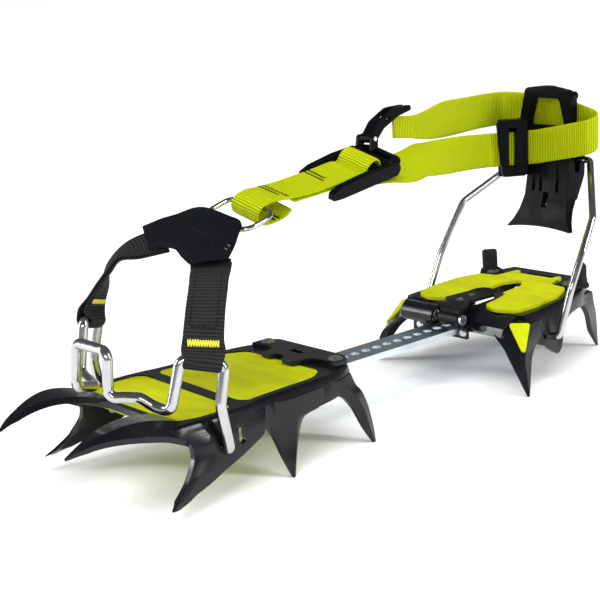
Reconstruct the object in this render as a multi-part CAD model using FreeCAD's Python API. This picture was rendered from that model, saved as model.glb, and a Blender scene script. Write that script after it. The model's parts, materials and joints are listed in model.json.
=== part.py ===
import FreeCAD, Part
import math
import os
from FreeCAD import Vector as V

# Twelve-point crampon, semi-step-in, millimetres.  +Z up, toe towards -Y,
# X = 0 is the middle of the sole; the exported z = 0 is the ground under the points.

# ---- driving dimensions -----------------------------------------------------
MIDDLE_Y = 151.0        # half way from the frontal tips to the heel lever, the exported origin
GROUND_Z = 2.0          # height of the lowest tips in the drawing's own frame, exported as zero
STEEL = 3.0             # sheet thickness of both frames
PLATE_TOP = 41.0        # upper face of the front frame
HEEL_TILT = 3.0         # the heel plate rises towards the back, degrees
HEEL_FRONT_Y = 245.0    # front edge of the heel plate
WEBBING = 20.0          # webbing width
LAYER = 1.6             # one layer of webbing
DOUBLE = 3.0            # two stitched layers
TOE_WIRE_R = 2.5        # toe bail wire
HEEL_WIRE_R = 2.0       # heel bail wire
RUNNING = 0.06          # radial play of a wire end or axle in its hole
TOE_PIVOT = (33.0, 26.6)        # y, z of the toe bail's ends
HEEL_PIVOT = (267.0, 26.0)      # y, z of the heel bail's ends
CROSSBAR = (331.0, 114.0)       # y, z of the heel bail's crossbar
BAR_HALF = 9.5          # half width of the linking bar
BAR_TOP = 32.5          # upper face of the linking bar
BAR_GAUGE = 2.5
HOLE_PITCH = 8.0
LATCH_AXLE = (224.5, 39.2)      # y, z of the length latch's axle
LEVER_Y = (322.0, 328.0)        # front and back faces of the lever's handle
SCREW_Y = 326.4         # axis of the fine adjustment screw

# y, outer x and lower z of the front frame's side wall
FRONT_SIDE = [(8, 41, 36.4), (12, 42, 36), (20, 42.4, 33), (34, 43.5, 29), (48, 43, 28), (60, 41, 27.6),
              (78, 40, 28), (94, 39.5, 29), (106, 38.5, 30), (116, 36, 32), (123.5, 31, 35)]
# y, x at the top, x and z at the lower edge of the heel frame's side wall
HEEL_SIDE = [(246, 44.5, 47, 30), (252, 44.4, 47.4, 24.5), (257, 44.2, 47.6, 23), (262, 44, 48, 19.5),
             (268, 43.6, 48, 16), (273, 43.2, 47.2, 19), (277, 43, 45.4, 27), (285, 42, 43, 33),
             (296, 40, 40.5, 34.5), (306, 37.5, 37.5, 34), (316, 33, 33, 34)]


# ---- geometry helpers ---------------------------------------------------------
def corner_arc(before, corner, after, radius):
    """Tangent arc of the given radius in a corner: start, middle and end points."""
    a, b = (before - corner), (after - corner)
    a.normalize()
    b.normalize()
    half = math.acos(max(-1.0, min(1.0, a.dot(b)))) / 2
    reach = radius / math.tan(half)
    bisector = a + b
    bisector.normalize()
    middle = corner + bisector * (radius / math.sin(half) - radius)
    return corner + a * reach, middle, corner + b * reach


def rounded(points, radius, closed):
    """Wire through the points, with each corner rounded; a point may carry its own radius."""
    pts = [V(*p[:3]) for p in points]
    radii = [p[3] if len(p) > 3 else radius for p in points]
    n = len(pts)
    edges, last = [], None
    first = None
    for i in range(n):
        if not closed and i in (0, n - 1) or radii[i] <= 0:
            start = end = pts[i]
            arc = None
        else:
            start, middle, end = corner_arc(pts[i - 1], pts[i], pts[(i + 1) % n], radii[i])
            arc = Part.Arc(start, middle, end).toShape()
        if last is not None and last.distanceToPoint(start) > 1e-6:
            edges.append(Part.LineSegment(last, start).toShape())
        if arc:
            edges.append(arc)
        if first is None:
            first = start
        last = end
    if closed and last.distanceToPoint(first) > 1e-6:
        edges.append(Part.LineSegment(last, first).toShape())
    return Part.Wire(edges)


def slab(outline, z_low, z_high, radius=0.0):
    """Upright prism on a rounded outline of (x, y) or (x, y, own radius) points."""
    pts = [(p[0], p[1], z_low) + tuple(p[2:]) for p in outline]
    return Part.Face(rounded(pts, radius, True)).extrude(V(0, 0, z_high - z_low))


def profile_x(outline, x_low, x_high, radius=0.0):
    """Prism along X on a rounded outline of (y, z) points."""
    pts = [(x_low, p[0], p[1]) + tuple(p[2:]) for p in outline]
    return Part.Face(rounded(pts, radius, True)).extrude(V(x_high - x_low, 0, 0))


def box(x, y, z):
    """Box from (low, high) pairs."""
    return Part.makeBox(x[1] - x[0], y[1] - y[0], z[1] - z[0], V(x[0], y[0], z[0]))


def pin(base, direction, radius, length):
    return Part.makeCylinder(radius, length, V(*base), V(*direction))


def rod(points, bend, radius):
    """Round wire bent along the points."""
    path = rounded(points, bend, False)
    start = V(*points[0][:3])
    along = V(*points[1][:3]) - start
    circle = Part.Wire([Part.Circle(start, along, radius).toShape()])
    return path.makePipeShell([circle], True, False)


def loft(sections):
    """Straight-sided solid through closed polygons with equal numbers of corners."""
    wires = [Part.makePolygon([V(*p) for p in s] + [V(*s[0])]) for s in sections]
    return Part.makeLoft(wires, True, True)


def eased(rows, steps=3):
    """Rows of numbers with evenly spaced rows added on a smooth curve through them."""
    out = []
    for k in range(len(rows) - 1):
        p0, p1, p2, p3 = rows[max(k - 1, 0)], rows[k], rows[k + 1], rows[min(k + 2, len(rows) - 1)]
        for i in range(steps):
            t = i / steps
            out.append(tuple(b + 0.5 * t * (c - a + t * (2 * a - 5 * b + 4 * c - d + t * (3 * b - a - 3 * c + d)))
                             for a, b, c, d in zip(p0, p1, p2, p3)))
    return out + [tuple(rows[-1])]


def fang(levels, inward, gauge):
    """Bent sheet point.  Each level lists its outer corners; the inner ones lie one gauge inward."""
    rows = eased([sum(level, ()) for level in levels])
    sections = []
    for k, row in enumerate(rows):
        corners = [row[i:i + 3] for i in range(0, len(row), 3)]
        t = gauge - (gauge - 0.9) * max(0.0, (k + 6 - len(rows)) / 5)
        inner = [tuple(c[j] + inward[j] * t for j in range(3)) for c in corners]
        sections.append(list(corners) + inner[::-1])
    return loft(sections)


def ribbon(stations, thick):
    """Flat band.  A station is the two edge points; the thickness is square to them and the run."""
    a = [V(*s[0]) for s in stations]
    b = [V(*s[1]) for s in stations]
    middle = [(p + q) * 0.5 for p, q in zip(a, b)]
    sections = []
    for i in range(len(stations)):
        run = middle[min(i + 1, len(a) - 1)] - middle[max(i - 1, 0)]
        normal = run.cross(b[i] - a[i])
        normal.normalize()
        n = normal * (thick / 2)
        sections.append([tuple(p) for p in (a[i] - n, b[i] - n, b[i] + n, a[i] + n)])
    return loft(sections)


def fuse(shapes):
    whole = shapes[0].fuse(shapes[1:])
    return whole.removeSplitter()


def mirrored(shape):
    return shape.mirror(V(0, 0, 0), V(1, 0, 0))


def both(shape):
    return [shape, mirrored(shape)]


def tilt_heel(shape):
    """The heel plate and what lies on it rise towards the back."""
    turned = shape.copy()
    turned.rotate(V(0, HEEL_FRONT_Y, PLATE_TOP), V(1, 0, 0), HEEL_TILT)
    return turned


def heel_top(y):
    return PLATE_TOP + (y - HEEL_FRONT_Y) * math.tan(math.radians(HEEL_TILT))


def capsule(center, half_long, radius, x_low, x_high):
    """Upright slot-shaped cutter along X, centred on (y, z)."""
    y, z = center
    return profile_x([(y - radius, z - half_long, radius * 0.99), (y + radius, z - half_long, radius * 0.99),
                      (y + radius, z + half_long, radius * 0.99), (y - radius, z + half_long, radius * 0.99)],
                     x_low, x_high)


def rivet(x, y, z, radius=3.6, stem=4.0):
    """Dished head above z, with a stem through the sheets below."""
    head = Part.makeCone(radius, radius * 0.62, 1.3, V(x, y, z))
    return fuse([head, pin((x, y, z - stem), (0, 0, 1), radius * 0.55, stem)])


# ---- front unit -----------------------------------------------------------------
def front_side_wall():
    """Side wall with a rolled upper edge, from the toe corner to the rear corner."""
    sections = []
    for y, x, low in eased(FRONT_SIDE):
        lean = (PLATE_TOP - low) * 0.12
        sections.append([(x - 6, y, PLATE_TOP), (x - 2.6, y, PLATE_TOP), (x - 0.8, y, PLATE_TOP - 0.9),
                         (x, y, PLATE_TOP - 3), (x + lean, y, low), (x + lean - STEEL, y, low),
                         (x - STEEL, y, PLATE_TOP - STEEL - 1), (x - 6, y, PLATE_TOP - STEEL)])
    return loft(sections)


def frontal_point():
    """Arched forward point, folded along its crest."""
    levels = [[(17, 16, 41), (36, 16, 41.6), (42.5, 16, 34)],
              [(19.5, 6, 43.6), (36, 6, 44.6), (42.6, 6, 38.6)],
              [(21.5, -2, 45), (36, -2, 46.3), (41.6, -2, 40.6)],
              [(23.6, -10, 45.6), (35, -10, 46.6), (39.4, -10, 41.9)],
              [(25, -18, 44.8), (33, -18, 45.4), (35.6, -18, 42)],
              [(26, -25, 43), (30.8, -25, 43.2), (32.4, -25, 41.2)],
              [(26.6, -31, 40.4), (29.2, -31, 40.6), (30, -31, 39.4)],
              [(26.4, -36.4, 37.2), (26.9, -36.4, 37.4), (27.3, -36.4, 37)]]
    return fang(levels, (-0.32, 0, -0.95), STEEL)


def second_point():
    """Broad forward-raked blade that also carries the toe bail."""
    levels = [[(42, 12, 37.5), (43.4, 28, 37.5), (42, 60, 37.5)],
              [(43.8, 15.8, 32), (45.2, 24, 32), (43.8, 58, 32)],
              [(44.8, 16.3, 27), (46, 22, 27), (44.4, 56.5, 27)],
              [(45.6, 14.8, 23.5), (46.8, 19.6, 23.5), (45, 49.5, 23.5)],
              [(46.6, 12.3, 20), (47.7, 16.6, 20), (45.6, 40.6, 20)],
              [(47.4, 9.9, 17), (48.5, 13.6, 17), (46.6, 31, 17)],
              [(48.6, 6, 14), (49.5, 9.4, 14), (47.9, 21.5, 14)],
              [(49.4, 3.2, 12), (50.1, 6, 12), (49, 13.2, 12)],
              [(50.2, 1.2, 10.6), (50.6, 3.2, 10.6), (50, 8.6, 10.6)],
              [(50.8, -1.3, 9), (51.2, 0.4, 9), (50.8, 2.6, 9)]]
    return fang(levels, (-1, 0, 0), STEEL)


def third_point():
    levels = [[(39.6, 56, 37.5), (41.4, 76.8, 37.5), (39.6, 98, 37.5)],
              [(40.6, 58, 29.5), (42.6, 78, 29.5), (40.6, 96, 29.5)],
              [(41.2, 61, 27), (43, 78, 27), (41, 84.4, 27)],
              [(41.8, 64.3, 22.5), (43.6, 77, 22.5), (41.6, 80.6, 22.5)],
              [(43.2, 66.5, 16), (44.6, 75.4, 16), (43, 77.4, 16)],
              [(45, 68.2, 9), (45.9, 73, 9), (44.9, 74.4, 9)],
              [(46.6, 70.3, 2), (47, 71, 2), (46.6, 71.7, 2)]]
    return fang(levels, (-1, 0, 0), STEEL)


def fourth_point():
    """Rear point of the front frame, curved back under its corner."""
    levels = [[(38.4, 98, 37.5), (38.8, 110, 37.5), (34.5, 121, 37.5)],
              [(38.6, 106, 31), (39.6, 115, 31), (35, 124, 31)],
              [(38.8, 112.5, 27.5), (39.8, 119, 27.5), (36, 126.6, 27.5)],
              [(39.6, 118.6, 20), (40.6, 123.4, 20), (37.8, 128.8, 20)],
              [(41, 122.8, 10), (41.7, 126, 10), (40, 129.8, 10)],
              [(42, 127.4, 2), (42.3, 128.4, 2), (41.9, 129.3, 2)]]
    return fang(levels, (-1, 0, 0), STEEL)


FORE_WINDOW = [(-34, 15), (34, 15), (38, 30), (37.5, 46), (-37.5, 49), (-38, 30)]
AFT_WINDOW = [(-36, 55), (36.4, 52), (35.6, 74), (33, 98), (27, 108), (-27, 108), (-33, 98), (-35.6, 74)]


def front_frame():
    right = [(x - 2.7, y) for y, x, _ in FRONT_SIDE]
    left = [(-x, y) for x, y in right[::-1]]
    toe = [(-24, 8), (-12, 12), (12, 12), (24, 8)]
    plate = slab(toe + right + left, PLATE_TOP - STEEL, PLATE_TOP)
    for window in (FORE_WINDOW, AFT_WINDOW):
        plate = plate.cut(slab(window, PLATE_TOP - 5, PLATE_TOP + 5, 7))
    side = fuse([front_side_wall(), frontal_point(), second_point(), third_point(), fourth_point()])
    frame = fuse([plate] + both(side))
    y, z = TOE_PIVOT
    wire_hole = pin((-60, y, z), (1, 0, 0), TOE_WIRE_R + RUNNING, 120)
    spare_slot = capsule((43.5, 29.5), 3.8, 2.1, -60, 60)
    stem_holes = [pin((x, 121.5 - abs(x) * 0.05, 30), (0, 0, 1), 2.05, 20) for x in (-25, 25)]
    bar_hole = pin((0, 115, 30), (0, 0, 1), 2.55, 20)
    return frame.cut(fuse([wire_hole, spare_slot])).cut(stem_holes + [bar_hole])


def shrunk(outline, by):
    """Outline moved inward by scaling about its middle."""
    cx = sum(p[0] for p in outline) / len(outline)
    cy = sum(p[1] for p in outline) / len(outline)
    rx = max(abs(p[0] - cx) for p in outline)
    ry = max(abs(p[1] - cy) for p in outline)
    return [(cx + (p[0] - cx) * (1 - by / rx), cy + (p[1] - cy) * (1 - by / ry)) for p in outline]


def snow_pad(window, frame):
    """Plastic pad that fills a window of the front frame and holds under its rim."""
    pad = slab(shrunk(window, 0.4), PLATE_TOP - STEEL, PLATE_TOP - 0.6, 6.6)
    rim = slab(shrunk(window, -1.6), PLATE_TOP - STEEL - 1.6, PLATE_TOP - STEEL, 8)
    return fuse([pad, rim]).cut(frame)


def bar_anchor():
    """Notched plate riveted over the rear of the front frame, with a lip that guides the bar."""
    top = PLATE_TOP + 2.2
    outline = [(-30.5, 112), (-27, 116), (-14, 114), (-13, 105), (-6, 105), (-5, 109.5), (3, 109.5), (4, 103.5),
               (12, 103.5), (13, 108), (15, 114), (27, 116), (30.5, 112), (30.5, 123), (24, 127.5),
               (-24, 127.5), (-30.5, 123)]
    plate = slab(outline, PLATE_TOP, top, 0.9)
    lip = box((-15, 15), (124.4, 127.4), (25, PLATE_TOP + 0.5))
    way = box((-BAR_HALF - 0.8, BAR_HALF + 0.8), (120, 130), (26.2, BAR_TOP + 0.7))
    plate = fuse([plate, lip]).cut(way)
    slots = [box((-4, 5), (115.5, 119.5), (40, 45)), pin((-25, 120.25, 40), (0, 0, 1), 2.05, 6),
             pin((25, 120.25, 40), (0, 0, 1), 2.05, 6)]
    return plate.cut(slots)


def linking_bar():
    """Spring steel channel with a row of adjustment holes."""
    y_low, y_high = 104.0, 322.0
    low = BAR_TOP - 3.4
    bar = box((-BAR_HALF, BAR_HALF), (y_low, y_high), (low, BAR_TOP))
    hollow = box((-BAR_HALF + 1.6, BAR_HALF - 1.6), (y_low - 1, y_high + 1), (low - 1, BAR_TOP - BAR_GAUGE))
    holes = [pin((0, 134 + k * HOLE_PITCH, low - 1), (0, 0, 1), 2.6, 8) for k in range(23)]
    return bar.cut([hollow, pin((0, 115, low - 1), (0, 0, 1), 2.55, 8)] + holes)


def bar_rivet():
    """Shouldered rivet that holds the bar's front end under the front frame."""
    shank = pin((0, 115, BAR_TOP - BAR_GAUGE - 1.4), (0, 0, 1), 2.5, PLATE_TOP - BAR_TOP + BAR_GAUGE + 1.4)
    foot = pin((0, 115, BAR_TOP - BAR_GAUGE - 1.4), (0, 0, 1), 4.6, 1.4)
    shoulder = pin((0, 115, BAR_TOP), (0, 0, 1), 4.6, PLATE_TOP - STEEL - BAR_TOP)
    return fuse([shank, foot, shoulder])


# ---- toe bail and harness ---------------------------------------------------------
NEAR_LOOP = ((39.5, 16.5, 70.3), (49.0, 32.5, 66.0))      # top corners, front and rear, that hold the webbing
FAR_LOOP = ((-39.5, 20.0, 74.0), (-49.0, 34.5, 69.5))


def toe_bail():
    """One wire: hinge ends, a loop for each webbing leg and the square stop before the toe."""
    y, z = TOE_PIVOT
    near = [(41, y, z, 0), (48.7, y, z, 3), (49.6, 28.4, 47.8, 8), NEAR_LOOP[1] + (3.8,), NEAR_LOOP[0] + (3.8,),
            (38, 10.6, 47.4, 4.2), (29, 8.6, 48.6, 6), (24, 5, 52.4, 5), (17, 2, 52, 6), (10.6, -2.4, 51.5, 3.6),
            (10.6, -1, 72, 4.2)]
    far = [(-13.8, -1, 72, 4.2), (-13.8, -3, 51.5, 3.9), (-20, 11, 47.4, 5), (-38.5, 15.4, 49.4, 4.2),
           FAR_LOOP[0] + (3.8,), FAR_LOOP[1] + (3.8,), (-49.4, 30, 50, 8), (-48.7, y, z, 3), (-41, y, z, 0)]
    return rod(near + far, 4, TOE_WIRE_R)


# edge points (front, rear) of the webbing legs, from the wire loop up to the patch
NEAR_LEG = [((39.9, 19.2, 75.2), (48.4, 33.6, 71.4)), ((35.2, 25.2, 80), (45, 36.6, 78)),
            ((29.8, 30.4, 89), (41, 41.8, 88)), ((22, 38.2, 98.6), (34, 49.2, 97)),
            ((15.8, 44.8, 103.6), (27, 55.6, 103))]
FAR_LEG = [((-40, 22.2, 79), (-48.8, 35.2, 75.4)), ((-36.6, 25.4, 86), (-46.6, 38.6, 84.6)),
           ((-31.4, 29.4, 94), (-41.4, 41.6, 96)), ((-25, 33.8, 100.8), (-35.4, 47, 106)),
           ((-17, 40.6, 104.6), (-24.5, 51.8, 112))]


def webbing_leg(loop, stations):
    """Doubled webbing that folds round the bail wire and runs up to the patch."""
    front, rear = V(*loop[0]), V(*loop[1])
    along = rear - front
    inset = along * 0.17
    start = front + inset
    span = (along - inset * 2)
    outer = Part.makeCylinder(TOE_WIRE_R + 2.0, span.Length, start, span)
    inner = Part.makeCylinder(TOE_WIRE_R + 0.35, span.Length + 2, start - span * 0.05, span)
    band = ribbon([(front + V(0, 0, 3) + inset * 0.7, rear + V(0, 0, 3) - inset * 0.7)] + stations, DOUBLE)
    return fuse([outer, band]).cut(inner)


# edge points (front, rear) of the patch from its far arm over the top to its near arm
PATCH = [((-16.6, 41.2, 105.2), (-24, 52.4, 112.6)), ((-10, 46.4, 108.6), (-17.2, 64, 117.4)),
         ((-3, 50.2, 110.2), (-11, 71, 117.4)), ((3, 50.4, 109.4), (4, 71.8, 115.4)),
         ((9.4, 48.4, 107.2), (17, 72.6, 112.2)), ((15.4, 45.2, 104.2), (26.6, 56, 103.6))]


RING_MIDDLE = (0.0, 85.6, 117.9)
RING_HALF = 10.5        # from the ring's middle to its front and rear bars
RING_ROLL = 12.0
RING_SLOPE = 16.0


def on_ring(shape):
    """Place a shape drawn about the origin on the ring's sloping, rolled plane."""
    placed = shape.copy()
    placed.rotate(V(0, 0, 0), V(0, 1, 0), RING_ROLL)
    placed.rotate(V(0, 0, 0), V(1, 0, 0), RING_SLOPE)
    placed.translate(V(*RING_MIDDLE))
    return placed


def ring_line(x_low, x_high, y, radius):
    """Round bar along one of the ring's straight sides."""
    return on_ring(pin((x_low, y, 0), (1, 0, 0), radius, x_high - x_low))


def v_patch():
    """Sewn fabric patch that joins the two webbing legs and ends in the loop for the ring."""
    sleeve = ring_line(-9.5, 9.5, -RING_HALF, 3.6)
    bore = ring_line(-14, 14, -RING_HALF, 1.9)
    return fuse([ribbon(PATCH, 2.6), sleeve]).cut([bore] + webbing_solids())


def webbing_solids():
    return [webbing_leg(NEAR_LOOP, NEAR_LEG), webbing_leg(FAR_LOOP, FAR_LEG)]


def strap_ring():
    """Oval welded ring between the patch and the lime strap."""
    half = [(0, -RING_HALF, 0, 0), (14.5, -RING_HALF, 0, 7), (14.5, RING_HALF, 0, 7), (0, RING_HALF, 0, 0)]
    side = rod(half, 7, 1.25)
    return on_ring(fuse(both(side)))


# the lime strap and buckle share a slope and a slight roll
STRAP_SLOPE = 8.0
STRAP_ROLL = 16.0
BUCKLE_AT = (0.0, 158.0, 128.9)


def on_strap(shape):
    """Place a shape drawn about the origin on the sloping, rolled strap line at the buckle."""
    placed = shape.copy()
    placed.rotate(V(0, 0, 0), V(0, 1, 0), STRAP_ROLL)
    placed.rotate(V(0, 0, 0), V(1, 0, 0), STRAP_SLOPE)
    placed.translate(V(*BUCKLE_AT))
    return placed


def ring_strap():
    """Short doubled strap from the ring to the buckle's second bar."""
    path = [(-60, -1.2), (-40, -0.8), (-22, -0.4), (-12, 0.4), (-5, 0.8), (0.6, 0.9), (4.6, 3.8), (9, 5)]
    h = WEBBING / 2
    band = ribbon([((-h, y, z), (h, y, z)) for y, z in path], DOUBLE)
    eye = ring_line(-h, h, RING_HALF, 4.4)
    fold = pin((-h, 9.5, 2), (1, 0, 0), 4.4, WEBBING)
    bars = [pin((-20, 9.5, 2), (1, 0, 0), 2.5, 40), pin((-20, -2, -3.4), (1, 0, 0), 2.3, 40)]
    strap = on_strap(fuse([band, fold]).cut(bars))
    return fuse([strap, eye]).cut(ring_line(-20, 20, RING_HALF, 1.9))


def buckle_frame():
    """Moulded ladder buckle: two arms, two bars and a rounded end."""
    def arm(start, low, x):
        return profile_x([(start, low, 1), (start + 7, low - 0.6, 2), (22, -3.6, 2), (24, 1, 2), (18, 3.6, 2),
                          (2, 3.6, 3), (start + 6, 2, 3), (start, -0.2, 1)], x, x + 3.6)
    bars = [pin((-12, -2, -3.4), (1, 0, 0), 1.9, 24), pin((-12, 9.5, 2), (1, 0, 0), 2.1, 24)]
    end = slab([(-15, 16, 0), (15, 16, 0), (14, 28, 8), (-14, 28, 8)], -3.4, 3)
    recess = slab([(-9, 20, 1), (9, 20, 1), (8, 24.6, 1), (-8, 24.6, 1)], 1, 5)
    y, z = HOOK_AXLE
    ears = [profile_x([(y - 4, z - 9), (y + 1.5, z - 8), (y + 2, z + 1.8, 1.8), (y - 2.2, z + 1.8, 1.8)], x, x + 1.8)
            for x in (-15.6, -5.6)]
    axle_hole = pin((-20, y, z), (1, 0, 0), 1.2, 20)
    return fuse([on_strap(fuse([arm(-25, -4, 11.4), arm(-20, -4, -15)] + bars + [end]).cut(recess))] + ears).cut(axle_hole)


HOOK_AXLE = (182.5, 141.9)


def buckle_hook():
    """Fork-shaped hook blade on the far side of the buckle that takes the strap's end."""
    y, z = HOOK_AXLE
    blade = profile_x([(y - 2.4, z - 0.8, 1.2), (y + 3, z - 1.8, 1.2), (y + 9, z + 4.4, 7), (y + 20, z + 9.6, 7),
                       (y + 30, z + 12, 1.2), (y + 29.4, z + 14.6, 1.2), (y + 17, z + 14.2, 9), (y + 5, z + 8.2, 7)],
                      -13.4, -6)
    gap = box((-11.3, -8.1), (y + 8, y + 40), (z - 10, z + 30))
    gap_window = profile_x([(y + 9, z + 6), (y + 13, z + 8), (y + 17, z + 11), (y + 12, z + 10)], -20, 0, 0.8)
    barrel = pin((-13.4, y, z), (1, 0, 0), 2.5, 7.4)
    bore = pin((-20, y, z), (1, 0, 0), 1.2 + RUNNING, 20)
    return fuse([blade, barrel]).cut(gap).cut([gap_window, bore])


def hook_axle():
    y, z = HOOK_AXLE
    return pin((-15.6, y, z), (1, 0, 0), 1.2, 11.8)


# The long strap lies flat under the buckle and turns upright (lower, upper edge) ...
STRAP_TWIST = [((9.6, 168, 121.3), (-9.6, 168, 126.9)), ((9.5, 180, 120.6), (-9.4, 180, 127)),
               ((8.6, 190, 119), (-8.8, 190, 128.6)), ((6, 199, 117.8), (-8.8, 199, 131.2)),
               ((3, 208, 117.4), (-9.6, 208, 132.6))]
# ... and then runs upright through the keeper, round the lever's handle and back to the hook
# The last number of a station is the lean of the band's upper edge towards the far side, degrees.
STRAP_RUN = [(-5.4, 218, 126.2, 34), (-8, 228, 125.4, 30), (-14, 250, 124, 16), (-19.6, 272, 122.6, 5),
             (-23.2, 289, 121.2, 0), (-24.2, 295.4, 120.8, 0), (-23.4, 299.6, 120.6, 0), (-18, 309.2, 120.4, 0),
             (-13.2, 317.4, 120.6, 0), (-10.4, 319.8, 120.8, 0), (-5, 320.5, 121.6, 0), (8, 320.2, 124.2, 0),
             (25, 320, 127.6, 0), (30, 321.4, 129, 0), (32, 325, 130.6, 0), (30, 328.8, 132.4, 0),
             (25, 330.6, 134, 0), (8, 331, 138.4, 0), (-8, 331.2, 140, 0), (-22, 331, 141.4, 0),
             (-30, 329, 142, 0), (-34.2, 324.4, 142.4, 0), (-35.4, 316, 142.6, 0), (-34.6, 303, 142.6, 0),
             (-31.6, 286, 142.6, 2), (-26, 262, 142.8, 8), (-19, 240, 143.6, 14), (-12.4, 225, 145.4, 8),
             (-9.7, 215, 147, 0), (-9.7, 202, 148.4, 0)]


def long_strap():
    run = []
    for x, y, z, lean in STRAP_RUN:
        h = V(-math.sin(math.radians(lean)), 0, math.cos(math.radians(lean))) * (WEBBING / 2)
        run.append((V(x, y, z) - h, V(x, y, z) + h))
    return ribbon(STRAP_TWIST + run, LAYER)


# ---- heel unit ------------------------------------------------------------------
def heel_side_wall():
    sections = []
    for y, top_x, low_x, low in eased(HEEL_SIDE):
        top = heel_top(y)
        sections.append([(top_x - 6, y, top), (top_x - 2.6, y, top), (top_x - 0.8, y, top - 0.9),
                         (top_x, y, top - 2.8), (low_x, y, low), (low_x - STEEL, y, low),
                         (top_x - STEEL, y, top - STEEL - 0.8), (top_x - 6, y, top - STEEL)])
    return loft(sections)


# corner face of the heel's front points: two ridges that meet above the tip
RIDGE_FRONT = ((36.5, 238.2, 37.5), (52.0, 233.0, 21.0))
RIDGE_SIDE = ((46.2, 246.4, 37.5), (52.3, 233.6, 21.0))
HEEL_TIP = (57.0, 230.6)


def on_ridge(ridge, z):
    (x0, y0, z0), (x1, y1, z1) = ridge
    t = (z0 - z) / (z0 - z1)
    return (x0 + (x1 - x0) * t, y0 + (y1 - y0) * t, z)


def heel_front_point():
    """Corner point with a front flank, a flat corner face and a side flank."""
    flanks = [((24, 237.5), (44.4, 262), 37.5), ((35, 230.4), (46.4, 257), 31), ((42.6, 228.2), (48.2, 249), 26),
              ((47.6, 226.6), (51, 241.4), 21)]
    levels = [[(*f, z), on_ridge(RIDGE_FRONT, z), on_ridge(RIDGE_SIDE, z), (*b, z)] for f, b, z in flanks]
    levels.append([(52.8, 228, 11), (54.4, 231.5, 11), (54.8, 232.2, 11), (54.4, 235.6, 11)])
    x, y = HEEL_TIP
    levels.append([(x - 0.5, y - 0.5, 2), (x + 0.1, y, 2), (x + 0.2, y + 0.2, 2), (x, y + 0.8, 2)])
    return fang(levels, (-0.8, 0.6, 0), STEEL)


def heel_rear_point():
    levels = [[(37.6, 300, 40), (36, 317, 40), (24, 322, 40)],
              [(36.6, 309.4, 32), (34.4, 321, 32), (26.5, 324.4, 32)],
              [(34.8, 315.6, 26), (32.4, 325.6, 26), (26.3, 327.6, 26)],
              [(31, 323.4, 16), (29.8, 330.6, 16), (26, 331.6, 16)],
              [(28.8, 329.6, 8.6), (28.2, 333.4, 8.6), (26, 334, 8.6)],
              [(27.2, 335, 2), (27, 336, 2), (26.3, 336.2, 2)]]
    return fang(levels, (-0.5, -0.85, 0), STEEL)


def heel_frame():
    right = [(top_x - 2.7, y) for y, top_x, _, _ in HEEL_SIDE] + [(27, 325)]
    left = [(-x, y) for x, y in right[::-1]]
    plate = slab([(-34, 244.5), (34, 244.5)] + right + left, PLATE_TOP - STEEL, PLATE_TOP)
    slot = slab([(-5.5, 247), (5.5, 247), (6.5, 285), (4, 299), (-4, 299), (-6.5, 285)], 30, 50, 2.5)
    rear_slot = slab([(-11, 312), (11, 312), (11, 318), (-11, 318)], 30, 50, 1.4)
    stems = [pin((x, 305, 30), (0, 0, 1), 2.05, 25) for x in (-28, 28)]
    plate = tilt_heel(plate.cut([slot, rear_slot] + stems))
    apron = profile_x([(250, 41), (246, 41, 3), (233.4, 36.2, 3), (231.2, 31), (234, 30.4), (236.4, 34.4, 2),
                       (247, 38.1, 3), (250, 38.1)], -38, 38)
    side = fuse([heel_side_wall(), heel_front_point(), heel_rear_point()])
    frame = fuse([plate, apron] + both(side))
    y, z = HEEL_PIVOT
    bar_way = box((-BAR_HALF - 0.9, BAR_HALF + 0.9), (225, 256), (24, BAR_TOP + 0.8))
    pivot_hole = pin((-60, y, z), (1, 0, 0), HEEL_WIRE_R + RUNNING, 120)
    spare_slot = capsule((258.5, 29), 2.6, 1.7, -60, 60)
    pin_way = box((-3, 3), (247, 257), (30, 50))
    return frame.cut([bar_way, pivot_hole, spare_slot, pin_way])


def heel_snow_plate():
    """Lobed plastic plate on the heel frame, open along the bar and behind the latch."""
    outline = [(-38.5, 262), (-36, 247, 7), (-24, 242.5, 7), (-13.5, 247, 6), (-12, 262, 5), (-9.5, 272, 6),
               (9.5, 272, 6), (12, 262, 5), (13.5, 247, 6), (24, 242.5, 7), (36, 247, 7), (38.5, 262),
               (37.5, 282), (32, 297), (20, 299, 3), (17, 313, 3), (13, 318.6, 2), (13, 309.6, 1.5),
               (-13, 309.6, 1.5), (-13, 318.6, 2), (-17, 313, 3), (-20, 299, 3), (-32, 297), (-37.5, 282)]
    plate = slab([(x, y, *(r or (4,))) for x, y, *r in outline], PLATE_TOP, PLATE_TOP + 1.8)
    lens = slab([(0, 298.5, 3), (7, 288, 8), (7, 271), (-7, 271), (-7, 288, 8)], 40, 50, 1.5)
    return tilt_heel(plate.cut(lens))


def point_insert():
    """Triangular plastic inlay on the corner face of a heel front point."""
    a, b = V(*RIDGE_FRONT[0]), V(*RIDGE_SIDE[0])
    tip = (V(*RIDGE_FRONT[1]) + V(*RIDGE_SIDE[1])) * 0.5
    middle = (a + b + tip) * (1 / 3)
    corners = [middle + (p - middle) * s for p, s in ((a, 0.93), (b, 0.93), (tip, 0.98))]
    normal = (b - a).cross(tip - a)
    normal.normalize()
    if normal.y > 0:
        normal = normal * -1
    face = Part.Face(rounded([tuple(c) for c in corners], 1.4, True))
    face.translate(normal * 0.5)
    return face.extrude(normal * 1.1)


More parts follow.
